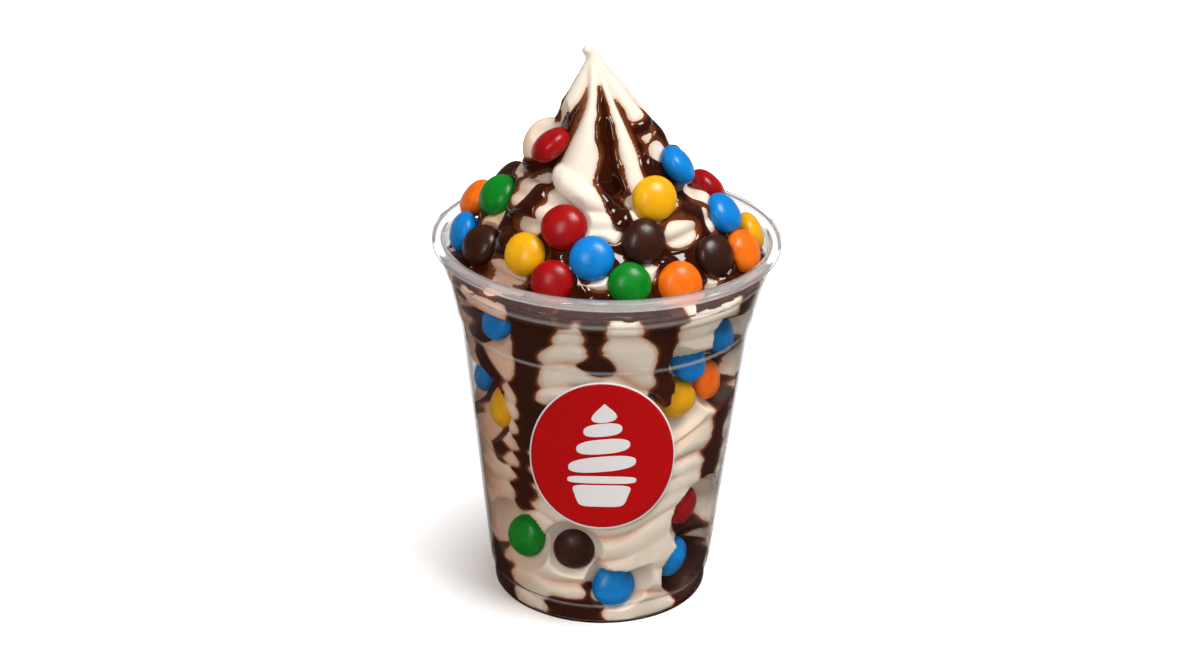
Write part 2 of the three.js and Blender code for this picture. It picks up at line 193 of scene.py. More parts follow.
# %% Sums of sockets
class Wire:
    """A node's output that can be added, subtracted and multiplied."""

    def __init__(self, paint, socket):
        self.paint = paint
        self.socket = socket

    def maths(self, operation, *others):
        inputs = dict(enumerate((self, *others)))
        return self.paint.node("ShaderNodeMath", {"operation": operation}, inputs)

    def __add__(self, other):
        return self.maths("ADD", other)

    def __mul__(self, other):
        return self.maths("MULTIPLY", other)

    def __sub__(self, other):
        return self.maths("SUBTRACT", other)

    def __rsub__(self, other):
        return (self * -1) + other

    __radd__ = __add__
    __rmul__ = __mul__


# %% Nodes of a material
BLACK = (0, 0, 0)
WHITE = (1, 1, 1)


def grey(amount):
    return (amount,) * 3


class Paint:
    """The nodes of one material, or of the world."""

    def __init__(self, name, library=bpy.data.materials):
        self.material = library.new(name)
        self.material.use_nodes = True
        self.tree = self.material.node_tree
        self.tree.nodes.clear()

    def node(self, kind, settings=None, inputs=None, output=0):
        """A node of that type, its settings first and then its sockets.

        Returns the output of that name or number, or the node itself if it has no outputs.
        """
        made = self.tree.nodes.new(kind)
        for key, value in (settings or {}).items():
            if key == "stops":
                self.set_stops(made.color_ramp, value)
            else:
                setattr(made, key, value)
        for key, value in (inputs or {}).items():
            if isinstance(value, Wire):
                self.tree.links.new(value.socket, made.inputs[key])
            else:
                made.inputs[key].default_value = value
        return Wire(self, made.outputs[output]) if made.outputs else made

    def set_stops(self, ramp, stops):
        while len(ramp.elements) < len(stops):
            ramp.elements.new(1)
        for element, (position, colour) in zip(ramp.elements, stops):
            element.position = position
            element.color = (*colour, 1)

    def ramp(self, factor, stops):
        return self.node("ShaderNodeValToRGB", {"stops": stops}, {"Fac": factor})

    def mix(self, factor, first, second):
        """Colours mixed. A Mix node's colours go in at 6 and 7 and come out at 2."""
        first, second = (c if isinstance(c, Wire) else (*c, 1) for c in (first, second))
        return self.node("ShaderNodeMix", {"data_type": "RGBA"}, {0: factor, 6: first, 7: second}, 2)

    def mix_shader(self, factor, first, second):
        return self.node("ShaderNodeMixShader", None, {0: factor, 1: first, 2: second})

    def place(self):
        return self.node("ShaderNodeTexCoord", output="Object")

    def along(self, axis):
        """The place along X, Y or Z, in metres."""
        return self.node("ShaderNodeSeparateXYZ", None, {0: self.place()}, axis)

    def noise(self, size, detail=2.0):
        """Noise from 0 to 1 with grains of that size in millimetres."""
        inputs = {"Vector": self.place(), "Scale": 1 / (size * MM), "Detail": detail}
        return self.node("ShaderNodeTexNoise", None, inputs)

    def field(self, name):
        """The numbers that add_field stored."""
        return self.node("ShaderNodeAttribute", {"attribute_name": name}, output="Fac")

    def bump(self, height, depth):
        """A normal from a height in millimetres' worth of depth."""
        inputs = {"Height": height, "Distance": depth * MM, "Strength": 1.0}
        return self.node("ShaderNodeBump", None, inputs)

    def principled(self, **inputs):
        """A Principled node. Underscores stand for the spaces in its sockets' names."""
        named = {key.replace("_", " "): value for key, value in inputs.items()}
        return self.node("ShaderNodeBsdfPrincipled", None, named)

    def finished(self, shader):
        """Ends the material in that shader."""
        self.node("ShaderNodeOutputMaterial", None, {"Surface": shader})
        return self.material

    def surface(self, **inputs):
        """Ends the material in one Principled node."""
        return self.finished(self.principled(**inputs))


# %% [markdown]
# ## The cup
# The cup is drawn from one sheet of clear plastic: a foot ring with a raised bottom, a straight
# taper, a stacking ring, the band that holds a lid, and a rim rolled outwards and down, which is
# hollow underneath. A single surface with a Solidify modifier would be quicker, but the outline
# of a real wall with both its sides gives the light two skins to pass. So the outline goes down
# the outside and back up the inside and is turned. Every corner is rounded by a small arc, as the
# real sheet can't have sharp ones, and those arcs catch the light as thin lines round the cup.

# %% Outline of the cup
WALL = 0.8
FOOT_RADIUS = 31
WALL_OUTSIDE = np.array([  # height and radius
    (0, FOOT_RADIUS),
    (6.2, FOOT_RADIUS + 0.4),
    (7.2, FOOT_RADIUS + 1.2),
    (13.6, FOOT_RADIUS + 2.0),
    (83.5, 41.0),
    (85.5, 41.9),
    (86.5, 42.1),
    (99.4, 45.1),
    (100.3, 45.8),
    (101.2, 45.6),
    (106.4, 45.9),
])
PUNT_DEPTH = 2.6  # how far the bottom is raised
FLOOR_Z = PUNT_DEPTH + WALL
CORNER_ARC = 0.9


def wall_outside(z):
    return np.interp(z, WALL_OUTSIDE[:, 0], WALL_OUTSIDE[:, 1])


def wall_inside(z):
    return wall_outside(z) - WALL


# %% Corners rounded by arcs
def rounded(outline, radius, steps=5):
    """The outline with each inner corner replaced by a curve that starts up to radius before it."""
    made = [outline[0]]
    for before, corner, after in zip(outline, outline[1:], outline[2:]):
        before, corner, after = (np.array(p, float) for p in (before, corner, after))
        cut = [min(radius, 0.45 * np.linalg.norm(end - corner)) for end in (before, after)]
        start = corner + (before - corner) / np.linalg.norm(before - corner) * cut[0]
        end = corner + (after - corner) / np.linalg.norm(after - corner) * cut[1]
        for t in np.linspace(0, 1, steps):
            made.append((1 - t) ** 2 * start + 2 * t * (1 - t) * corner + t * t * end)
    return np.array([*made, outline[-1]])


rim_under, wall_top_radius = WALL_OUTSIDE[-1]
inside_edge = wall_top_radius - WALL
cup_corners = [  # distance from the axis and height
    (0, PUNT_DEPTH),
    (27.5, PUNT_DEPTH),
    (28.3, 0),
    *[(radius, z) for z, radius in WALL_OUTSIDE],
    (wall_top_radius + 0.4, CUP_HEIGHT - WALL),
    (RIM_RADIUS - WALL, CUP_HEIGHT - WALL - 0.3),
    (RIM_RADIUS - WALL, rim_under),
    (RIM_RADIUS, rim_under),
    (RIM_RADIUS, CUP_HEIGHT - 0.7),
    (RIM_RADIUS - 0.8, CUP_HEIGHT),
    (inside_edge + 1.1, CUP_HEIGHT),
    (inside_edge, CUP_HEIGHT - 0.9),
    *[(radius - WALL, z) for z, radius in WALL_OUTSIDE[:0:-1]],
    (FOOT_RADIUS - WALL, WALL),
    (29.1, WALL),
    (28.4, FLOOR_Z),
    (0, FLOOR_Z),
]
cup_outline = rounded(cup_corners, CORNER_ARC)
print(f"{len(cup_outline)} points in the cup's outline")

# %% [markdown]
# Clear plastic lets rays through, bends them and mirrors a little of them, and one Principled
# node with transmission does all three. Alone it would leave the sundae dark behind it, as lamps
# can't be found through a bending wall. So rays on their way to a lamp pass straight through,
# which a thin wall all but does in reality. Round the rings and the rim, bands of a whitish matt
# layer are mixed in: painted highlights that stand in for the lines of light those curves catch.
# Where the sheet is seen edge-on there is more of it to look through, so a grey haze is mixed in
# there.

# %% Clear plastic
BAND_SPAN = 110  # millimetres of height that the bands are shares of
RING_HIGHLIGHT_BANDS = [  # share of that height and how strong the painted highlight is there
    (0.050, 0.0), (0.057, 0.25), (0.064, 0.0), (0.765, 0.0), (0.773, 0.3), (0.781, 0.0),
    (0.902, 0.0), (0.911, 0.3), (0.920, 0.03), (0.958, 0.04), (0.966, 0.26), (0.974, 0.10),
    (0.984, 0.10), (0.991, 0.20),
]


def clear_plastic():
    paint = Paint("clear_plastic")
    clear = paint.principled(
        Base_Color=(0.955, 0.942, 0.935, 1), Roughness=0.02, IOR=1.3, Transmission_Weight=1.0
    )
    # painted highlight: a whitish matt layer for the light that the rings and the rim catch
    ring_highlight = paint.principled(Base_Color=(0.88, 0.83, 0.83, 1), Roughness=0.25)
    height = paint.along("Z") * (1 / (BAND_SPAN * MM))
    ring_highlight_share = paint.ramp(height, [(share, grey(amount)) for share, amount in RING_HIGHLIGHT_BANDS])
    sheet = paint.mix_shader(ring_highlight_share, clear, ring_highlight)
    haze = paint.node("ShaderNodeBsdfTransparent", None, {"Color": (0.86, 0.84, 0.84, 1)})
    aslant = paint.node("ShaderNodeLayerWeight", None, {"Blend": 0.5}, "Facing")
    edges = paint.ramp(aslant, [(0.62, BLACK), (0.92, grey(0.8))])
    seen = paint.mix_shader(edges, sheet, haze)
    open_way = paint.node("ShaderNodeBsdfTransparent", None, {"Color": (0.96, 0.95, 0.945, 1)})
    to_lamp = paint.node("ShaderNodeLightPath", output="Is Shadow Ray")
    return paint.finished(paint.mix_shader(to_lamp, seen, open_way))


# %% Turn the cup
CUP_COLUMNS = 256
cup_turns = np.linspace(0, 360, CUP_COLUMNS, endpoint=False)
cup_rings = around(cup_turns[None, :], cup_outline[:, :1], cup_outline[:, 1:])
piece(new_object("clear_cup", *skin(cup_rings), [clear_plastic()]), "cup", "cup")

# %% [markdown]
# ## The candies
# Each candy is a chocolate lentil in a sugar shell. A list of places and tilts could be written
# here again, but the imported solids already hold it: the mean of a solid's points is the candy's
# middle, and the direction in which they spread least is its short axis. A fine lentil takes its
# place there. A candy also dents the soft ice cream and presses the sauce down round it, and the
# same object works that out for any points it is given.

# %% Read where the candies lie
HEAP_FROM_Z = 98  # candies above this height lie on the heap
UPWARD_PULL = 12.0  # of a candy's two flat sides, the one more outwards or upwards is its top
CRATER_CURVE = 0.13  # per millimetre: how fast the hollow round a candy turns up at its edge
CRATER_WIDTH = 6
PRESS_HEIGHT = 9  # points further above a candy than this aren't pressed by it


class Candy:
    """Where a candy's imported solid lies, how large it is and what it presses aside."""

    def __init__(self, node):
        points = np.array([v.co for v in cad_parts[node].data.vertices]) / MM
        self.node = node
        self.colour = node.split("_")[2]
        self.centre = points.mean(0)
        away = points - self.centre
        self.axes = np.linalg.eigh(away.T @ away)[1]  # columns, the short axis first
        self.half_thickness = np.abs(away @ self.axes[:, 0]).max()
        self.radius = np.linalg.norm(away, axis=1).max()

        outwards = np.array([self.centre[0], self.centre[1], UPWARD_PULL])
        self.up = self.axes[:, 0] * np.sign(self.axes[:, 0] @ outwards)

    def split(self, points):
        """Each point's height over the candy's middle plane and its distance from the short axis."""
        away = points - self.centre
        height = away @ self.up
        return height, np.linalg.norm(away - height[:, None] * self.up, axis=1)

    def press(self, points, level, slope):
        """Pushes points down to that level under the candy, and less and less round it."""
        height, aside = self.split(points)
        beyond = np.clip(aside - self.radius, 0, None)
        limit = level + slope * beyond + CRATER_CURVE * beyond**2
        near = (height < PRESS_HEIGHT) * (aside < self.radius + CRATER_WIDTH)
        push = np.clip(height - limit, 0, None) * near
        return points - push[:, None] * self.up


candies = [Candy(node) for node in CANDY_NODES]
heap_candies = [c for c in candies if c.centre[2] > HEAP_FROM_Z]
wall_candies = [c for c in candies if c not in heap_candies]
print(f"{len(heap_candies)} candies on the heap and {len(wall_candies)} at the wall")

# %% [markdown]
# The shells are sugar, coloured and polished with wax. Real ones are never quite even, as they are
# made in a tumbling pan: the colour is thinner in places, the gloss is patchy and the form a
# little out of round. A plain glossy colour looks like plastic beside them. So a cloudy noise
# moves the colour, the roughness and the bump together, and ripples bend the lentils.

# %% Sugar shells
SHELLS = {  # the shell's colour where it is thick and where it is thin
    "red": ((0.38, 0.002, 0.003), (0.28, 0.001, 0.002)),
    "blue": ((0.001, 0.22, 0.62), (0.001, 0.17, 0.54)),
    "yellow": ((0.84, 0.42, 0.001), (0.76, 0.34, 0.001)),
    "green": ((0.003, 0.24, 0.014), (0.002, 0.17, 0.009)),
    "orange": ((0.92, 0.18, 0.003), (0.80, 0.12, 0.002)),
    "brown": ((0.046, 0.013, 0.007), (0.030, 0.008, 0.004)),
}


def sugar_shell(colour):
    paint = Paint(f"{colour}_shell")
    thick, thin = SHELLS[colour]
    cloud = paint.noise(3.5, 3.0)
    grain = paint.noise(0.5)
    return paint.surface(
        Base_Color=paint.mix(paint.ramp(cloud, [(0.35, BLACK), (0.7, WHITE)]), thick, thin),
        Roughness=0.22 + 0.14 * cloud,
        Specular_IOR_Level=0.35,
        Normal=paint.bump(cloud + 0.25 * grain, 0.10),
        Subsurface_Weight=0.08,
        Subsurface_Radius=(0.6, 0.4, 0.3),
        Subsurface_Scale=MM,
    )


shells = {colour: sugar_shell(colour) for colour in SHELLS}
print(f"{len(shells)} colours of shell")

# %% Model the candies
CANDY_ROWS = 18
CANDY_COLUMNS = 32
UNEVENNESS = 0.012
UNEVEN_OVER = 9
slopes = np.radians(np.linspace(-90, 90, CANDY_ROWS + 1))[:, None]
candy_turns = np.linspace(0, 360, CANDY_COLUMNS, endpoint=False)[None, :]
candy_reach = np.cos(slopes) ** 0.94  # below 1 the edge is rounder than an ellipse's
for number, candy in enumerate(candies):
    lentil = around(candy_turns, candy.radius * candy_reach, candy.half_thickness * np.sin(slopes))
    uneven = ripples(lentil.reshape(-1, 3), UNEVEN_OVER, number).reshape(*lentil.shape[:2], 1)
    lentil = lentil * (1 + UNEVENNESS * uneven)
    turned = lentil[..., [2, 0, 1]] @ candy.axes.T + candy.centre
    made = new_object(f"shell_{candy.node}", *skin(turned), [shells[candy.colour]])
    piece(made, f"candy_{candy.colour}", candy.node)

# %% [markdown]
# ## Sauce runs
# Sauce leaves the brim in runs that go down the wall and end in a round drop. They could be
# painted on an image, but an image has pixels and can't be changed by a number. So a run is a
# line of points with a half width at each. How deep a spot lies inside the nearest run, in
# millimetres, is all that is needed: its sign says sauce or ice cream, and its size how near the
# edge is. Runs that meet are blended, so that their corners fill like those of a real liquid.

# %% How deep inside a run
BLEND = 1.8  # per millimetre: how sharply runs that meet keep apart
LEAST_DEPTH = -20  # depths further down than this are all the same
MOST_DEPTH = 8


def depth_inside(angle, z, radius, runs, z_stretch=1.0):
    """Millimetres inside the nearest run, negative outside. Runs hold (angle, z, half width)."""
    angle, z, radius = np.broadcast_arrays(angle, z, radius)
    total = np.zeros(np.shape(angle))
    for run in runs:
        for (angle0, z0, half0), (angle1, z1, half1) in zip(run, run[1:]):
            to_mm = np.radians(1) * radius
            way = turn_between(angle1, angle0) * to_mm, (z1 - z0) * z_stretch
            off = turn_between(angle, angle0) * to_mm, (z - z0) * z_stretch
            length = way[0] ** 2 + way[1] ** 2
            share = np.clip((off[0] * way[0] + off[1] * way[1]) / length, 0, 1)
            away = np.hypot(off[0] - share * way[0], off[1] - share * way[1])
            inside = half0 + (half1 - half0) * share - away
            total += np.exp(BLEND * np.clip(inside, LEAST_DEPTH, MOST_DEPTH))
    return np.log(total + 1e-12) / BLEND


# %% Where the runs lie on the wall
BRIM = 106
WALL_RUNS = [  # angle, height and half width of the points of each run
    [(-66, BRIM, 3.8), (-63, 94, 2.4), (-59, 87, 2.5), (-57, 80, 3.4), (-52, 75, 3.4),
     (-46, 72, 2.8)],
    [(-26, BRIM, 9.5), (-27, 100, 7.4), (-29, 95.5, 5.6), (-32, 88, 3.9), (-32, 82.5, 4.2),
     (-35, 75, 3.8), (-32, 69, 4.6), (-34, 64, 3.4), (-36, 57, 2.6), (-37, 46, 3.4),
     (-37.5, 42, 4.4), (-39, 37, 2.8)],
    [(-13, BRIM, 6.5), (-15, 103, 3.8)],
    [(-3.5, BRIM, 5.5), (-3.5, 98, 3.0), (-4, 93, 2.5), (-3, 88.5, 4.0), (-3, 86.5, 3.2)],
    [(20, BRIM, 8.0), (20, 102, 6.2), (22, 97, 4.2), (23, 90, 2.5), (23, 84, 3.4), (26, 77, 3.6),
     (27, 73.5, 2.0)],
    [(62, BRIM, 5.5), (62, 92, 4.2), (65, 82, 4.6), (64, 72, 4.4), (61, 62, 4.4), (60, 50, 4.6),
     (57, 43, 4.0), (58, 37, 2.8)],
    [(58, 29, 2.8), (61, 22, 4.4), (58, 15, 5.0), (66, 6, 9.0), (60, 0, 8.0)],
    [(-84, BRIM, 5.0), (-80, 92, 3.6), (-78, 80, 2.6)],
    [(-76, 66, 3.2), (-79, 57, 2.4)],
    [(-56, 56, 2.2), (-52, 52.5, 3.4)],
    [(88, BRIM, 4.0), (92, 96, 2.4), (90, 88, 1.6)],
    [(80, 68, 1.4), (78, 62, 2.0)],
    [(96, 58, 2.2), (93, 30, 2.6)],
    [(-66, 13, 6.5), (-64, 8, 7.0), (-66, 0, 9.0)],
    [(-23, 5, 4.2), (-6, 4, 4.6), (-5, 11, 1.2)],
    [(-25, 0, 4.0), (-2, 0, 5.0)],
]
BACK_RUNS = [  # angle at the brim, angle and height of the end
    (104, 99, 44),
    (131, 136, 66),
    (158, 150, 27),
    (183, 186, 79),
    (207, 201, 38),
    (233, 238, 70),
    (256, 252, 30),
]
for top, bottom, end_z in BACK_RUNS:
    middle_z = (BRIM + end_z) / 2
    WALL_RUNS.append(
        [(top, BRIM, 5.0), (top, 94, 3.2), (bottom, middle_z, 2.6), (bottom, end_z, 3.6)]
    )
    WALL_RUNS.append([(top + 12, 0, 5.0), (top + 22, 3, 5.0)])  # a puddle at the foot
print(f"{len(WALL_RUNS)} runs and puddles on the wall")

# %% [markdown]
# ## The ice cream against the wall
# The nozzle laid the soft serve in a coil, and its turns show through the wall as ridges with
# soft creases between them. Sauce creeps into the creases, which gives its runs their scalloped
# edges. Piping a real coil of rope inside the cup would leave gaps that have to be filled. So the
# filling is one skin whose distance from the axis is the wall's, less the creases and the dents
# round the candies. It reaches 0.06 mm into the wall, as wet ice cream touches it.

# %% Creases of the coil
RIDGE_PITCH = 6.6
RIDGE_WANDER = 2.2
RIDGE_WAVE = 0.5  # and three even waves in each turn
MEAN_RADIUS = 40.0  # of the wall, where a rough place on it is enough
FOLD_Z = 34  # below this the coil was laid in wider, slanting turns
FOLD_SLANT = 0.10
FOLD_STRETCH = 0.72


def wall_ripples(angle, z, wavelength, seed):
    """Ripples for spots on the wall."""
    points = around(angle, MEAN_RADIUS, z).reshape(-1, 3)
    return ripples(points, wavelength, seed).reshape(z.shape)


def ridge_phase(angle, z):
    """Which ridge a spot is on, and how far up it, as one number. Whole numbers are creases."""
    level = z + RIDGE_WANDER * wall_ripples(angle, z, 30, 7)
    level = level + RIDGE_WAVE * np.sin(np.radians(3 * angle + 40))
    low = np.clip(FOLD_Z - z, 0, None)
    front = smooth_step(angle, -60, -10) * (1 - smooth_step(angle, 70, 110))
    return (level + low * (1 - FOLD_STRETCH) - FOLD_SLANT * front * low * angle / 40) / RIDGE_PITCH


def crease(angle, z):
    """1 in the middle of a crease, falling to 0 on the ridges, which the wall flattens."""
    return (1 - np.abs(np.sin(np.pi * ridge_phase(angle, z)))) ** 1.2


def crease_strength(angle, z):
    """Creases fade out and come back round the cup, from about 0.15 to 1.2."""
    ridge_z = 1.6 * RIDGE_PITCH * np.round(ridge_phase(angle, z))
    return np.clip(0.65 + 0.5 * wall_ripples(angle, ridge_z, 26, 9), 0.15, 1.2)


# %% Sauce between the ridges and the wall
EDGE_WANDER = 0.6
SCALLOP = 3.6  # how far sauce creeps along a crease
SCALLOP_REACH = 3.5  # scallops die out this far from a run's edge


def sauce_at_wall(angle, z):
    """Millimetres inside the sauce on the wall."""
    wander = EDGE_WANDER * wall_ripples(angle, z, 16, 3)
    depth = depth_inside(angle, z, wall_inside(z), WALL_RUNS)
    lobes = SCALLOP * (crease(angle, z) - 0.25) * crease_strength(angle, z)
    return depth + wander + lobes * np.exp(-((depth / SCALLOP_REACH) ** 2))


# %% The filling's side
FILLING_COLUMNS = 320
FILLING_FOOT = WALL + 0.1
FILLING_TOP = 101.6
FINE_STEP = 0.45
CREASE_DEPTH = 1.25
BULK_DEPTH = 0.15  # slow dips in the ridges themselves
INTO_WALL = 0.06
fine_levels = np.arange(12 + FINE_STEP, FILLING_TOP, FINE_STEP)
levels = np.concatenate([np.linspace(FILLING_FOOT, 12, 28), fine_levels])
filling_turns = turn_between(np.linspace(0, 360, FILLING_COLUMNS, endpoint=False), 0)
angle_grid, z_grid = np.meshgrid(filling_turns, levels)
sauce_grid = sauce_at_wall(angle_grid, z_grid)
covered = smooth_step(sauce_grid, -0.2, 1.0)
bulk = np.clip(BULK_DEPTH * wall_ripples(angle_grid, z_grid, 14, 5), 0, 1)
crease_grid = crease(angle_grid, z_grid) * crease_strength(angle_grid, z_grid)
recess = (CREASE_DEPTH * crease_grid + bulk) * (1 - covered)
side_rings = around(angle_grid, wall_inside(z_grid) + INTO_WALL - recess, z_grid)
print(f"sauce covers {100 * (sauce_grid > 0).mean():.0f}% of the wall")

# %% Dents round the candies at the wall
COATED_CANDY = "candy_39_yellow"  # sauce runs between this one and the wall
SIDE_DISH = (-1.7, 0.3)  # level and slope; shallow at the sides, where a dish is seen aslant
FRONT_DISH = (-0.4, 0.9)
for candy in wall_candies:
    x, y, _ = candy.centre
    seen_aslant = 0.7 * abs(y) < abs(x) and y < 5
    before = side_rings.reshape(-1, 3)
    pressed = candy.press(before, *(SIDE_DISH if seen_aslant else FRONT_DISH))
    if candy.node == COATED_CANDY:
        pressed = np.where(covered.reshape(-1, 1) > 0.5, before, pressed)
    side_rings = pressed.reshape(side_rings.shape)

# %% Close the filling
FLOOR_RINGS = ((0, FLOOR_Z), (27, FLOOR_Z), (28.7, FLOOR_Z - 0.3), (29.4, FILLING_FOOT))
TOP_RINGS = ((42, 102.6), (36, 104), (24, 106), (0, 108))
floor_rings, top_rings = (
    np.stack([around(filling_turns, radius, z) for radius, z in rings])
    for rings in (FLOOR_RINGS, TOP_RINGS)
)
filling_points, filling_faces = skin(np.concatenate([floor_rings, side_rings, top_rings]))


def filling_field(grid, mode):
    """A number for each of the filling's points, from those of its side."""
    rings = np.pad(grid, ((len(FLOOR_RINGS), len(TOP_RINGS)), (0, 0)), mode)
    return np.concatenate([rings[0, :1], rings[1:-1].ravel(), rings[-1, :1]])


sauce_field = filling_field(sauce_grid, "edge")
# how deep each point lies in a crease, kept only as painted shade in the colour
crease_shade_field = filling_field(crease_grid, "constant")
print(f"{len(filling_points)} points in the filling")

# %% [markdown]
# ## The heap
# Above the brim the same nozzle piped a rope with lobes, which climbs round and round, and its
# last length was drawn up into a pointed crown. Sculpting would give the same forms by hand, but
# the nozzle follows rules, and rules can be written down. Rope, crown and the fat folds at the
# crown's foot are closed skins that pass through each other. A voxel remesh melts them into one
# body, as the soft ice cream did itself, and a little smoothing takes the hardness out of the
# seams.

# %% Lobes
def lobed(lobes, depth):
    """Lobes with creases between them, as a share of the radius."""
    return 1 - depth * (1 - np.abs(np.sin(np.pi * lobes)) ** 0.75)


# %% The rope
ROPE_START = 150
ROPE_TURNS = 2.35
ROPE_KNEE = 1.75  # turns after which the rope climbs more steeply
ROPE_LOBES = 8
ROPE_LOBE_DEPTH = 0.2
ROPE_TWIST = 0.55  # turns of the lobes about the rope for each turn of the rope
rope_share = np.linspace(0, 1, 220)[:, None]
rope_turn = rope_share * ROPE_TURNS
rope_angle = ROPE_START - 360 * rope_turn
rope_reach, rope_z, rope_thickness = (
    np.interp(rope_turn, (0, ROPE_KNEE, ROPE_TURNS), values)
    for values in ((31, 18.5, 12.0), (101.5, 120, 128), (9.7, 9.4, 8.0))
)
rope_thickness = rope_thickness * (1 - np.abs(2 * rope_share - 1) ** 40) ** 0.5  # round ends
section = np.linspace(0, 1, 96, endpoint=False)[None, :]
section_lobes = lobed((section + ROPE_TWIST * rope_turn) * ROPE_LOBES, ROPE_LOBE_DEPTH)
section_size = rope_thickness * section_lobes
section_way = 2 * np.pi * section
rope = around(
    rope_angle,
    rope_reach + section_size * np.cos(section_way),
    rope_z + section_size * np.sin(section_way),
)
print(f"the rope makes {ROPE_TURNS} turns, up to {rope_z.max():.0f} mm")

# %% [markdown]
# The crown is a lobed cone that leans a little to the left. Its grooves don't run straight: while
# the nozzle was pulled away the lobes twisted, so each groove has one angle low on the crown and
# another near the tip, and slides from one to the other. The first groove is given again at the
# end, one full turn on. Where the rope ends under the crown it leaves fat folds, and a plump petal
# lies across the front.

# %% The crown's form
CROWN_BASE_Z = 119
TIP_LEAN = -5.2
LOW_GROOVES = np.array([-60, 8, 46, 104, 154, 204, 252, 300])
HIGH_GROOVES = np.array([-27, 9, 38, 94, 152, 206, 262, 333])
GROOVE_SLIDE = (131, 153)  # heights between which the grooves slide
GROOVE_DEPTHS = ((119, 130, 150, 158, 161), (0.24, 0.40, 0.40, 0.26, 0.0))  # at those heights
CROWN_OUTLINE = np.array([  # height and distance from the crown's own axis
    (112, 15), (119, 19), (122, 21), (126, 22), (130, 21), (135, 18.4), (140, 15.8), (145, 12.8),
    (150, 9.2), (155, 5.5), (158, 3.4), (160, 2.1), (161.5, 1.5), (162.5, 1.1),
])


def crown_axis(z):
    """How far the crown's middle has moved sideways at a height."""
    up = np.clip((z - CROWN_BASE_Z) / (TIP_Z - CROWN_BASE_Z), 0, 1)
    return TIP_LEAN * up**1.4


def crown_reach(z):
    """The crown's distance from its own axis at the top of a lobe."""
    return np.interp(z, CROWN_OUTLINE[:, 0], CROWN_OUTLINE[:, 1])


# %% Model the crown
crown_foot, crown_top = CROWN_OUTLINE[[0, -1], 0]
crown_levels = np.linspace(crown_foot, crown_top, 90)
crown_z = np.concatenate([[crown_foot - 4], crown_levels, [crown_top + 0.3]])[:, None]
crown_lobes = len(LOW_GROOVES) - 1
crown_turn = np.linspace(0, crown_lobes, 210, endpoint=False)[None, :]
low_angle, high_angle = (
    np.interp(crown_turn, np.arange(crown_lobes + 1), grooves)
    for grooves in (LOW_GROOVES, HIGH_GROOVES)
)
crown_angle = low_angle + (high_angle - low_angle) * smooth_step(crown_z, *GROOVE_SLIDE)
crown_radius = crown_reach(crown_z) * lobed(crown_turn, np.interp(crown_z, *GROOVE_DEPTHS))
crown = around(crown_angle, crown_radius, crown_z)
crown[..., 0] += crown_axis(crown_z)
print(f"{crown_lobes} lobes on the crown, from {crown_foot:.0f} to {crown_top:.1f} mm")

# %% The folds at the crown's foot
PETAL = np.array([  # angle, height, distance from the axis, half thickness
    (-62, 131.2, 15.0, 0.2), (-57, 131, 16.0, 1.5), (-44, 130.8, 18.6, 3.2), (-32, 130, 20.2, 4.0),
    (-20, 128.5, 21.2, 4.3), (-9, 126.9, 22.2, 3.6), (0, 125.4, 22.8, 2.3), (5, 124.5, 22.8, 1.2),
    (8, 124, 22.6, 0.2),
])
FOLDS = [  # angle and height of the upper end, of the lower end, distance from the axis, radius
    (-126, 137.5, -75, 129.8, 16.2, 7.7),
    (24, 128, 62, 119, 20.0, 5.0),
    (64, 137.5, 80, 132, 12.4, 4.6),
    (112, 132, 158, 125, 15.5, 6.0),
    (190, 134, 240, 127, 16.0, 6.6),
]
fold_way = -2 * np.pi * np.linspace(0, 1, 40, endpoint=False)[None, :]


def fold(angle, z, reach, size):
    """A sausage whose half thickness is size, from columns of numbers along it."""
    return around(angle, reach + size * np.cos(fold_way), z + size * np.sin(fold_way))


petal_row = np.linspace(0, len(PETAL) - 1, 60)
petal_angle, petal_z, petal_reach, petal_size = (
    np.interp(petal_row, range(len(PETAL)), column)[:, None] for column in PETAL.T
)
folds = [fold(petal_angle, petal_z, petal_reach, petal_size)]
fold_row = np.linspace(0, 1, 40)[:, None]
fold_swell = np.sin(np.pi * fold_row**1.3) ** 0.7
for start_angle, start_z, end_angle, end_z, reach, thickest in FOLDS:
    fold_angle = start_angle + (end_angle - start_angle) * fold_row
    fold_z = start_z + (end_z - start_z) * fold_row
    folds.append(fold(fold_angle, fold_z, reach, thickest * fold_swell))
print(f"{len(folds)} folds")

# %% The curl at the very tip
CURL_RADIUS = 1.7
CURL_LEAN = 0.9
curl_slope = np.radians(np.linspace(-90, 90, 20))[:, None]
curl_turn = np.linspace(0, 360, 24, endpoint=False)[None, :]
curl = around(curl_turn, CURL_RADIUS * np.cos(curl_slope), CURL_RADIUS * np.sin(curl_slope))
curl = curl + np.array([TIP_LEAN - CURL_LEAN, 0, TIP_Z - CURL_RADIUS - 0.05])

# %% The bed that the heap stands on
BED = [  # distance from the axis and height
    (0, 96), (44.5, 97), (44.75, 101.4), (43, 102.3), (38, 103.4), (30, 106), (20, 112), (0, 116),
]
bed_outline = rounded(BED, 1.5)
bed = around(cup_turns[None, :], bed_outline[:, :1], bed_outline[:, 1:])

# %% Melt them together
VOXEL = 0.55
SMOOTHING = 4


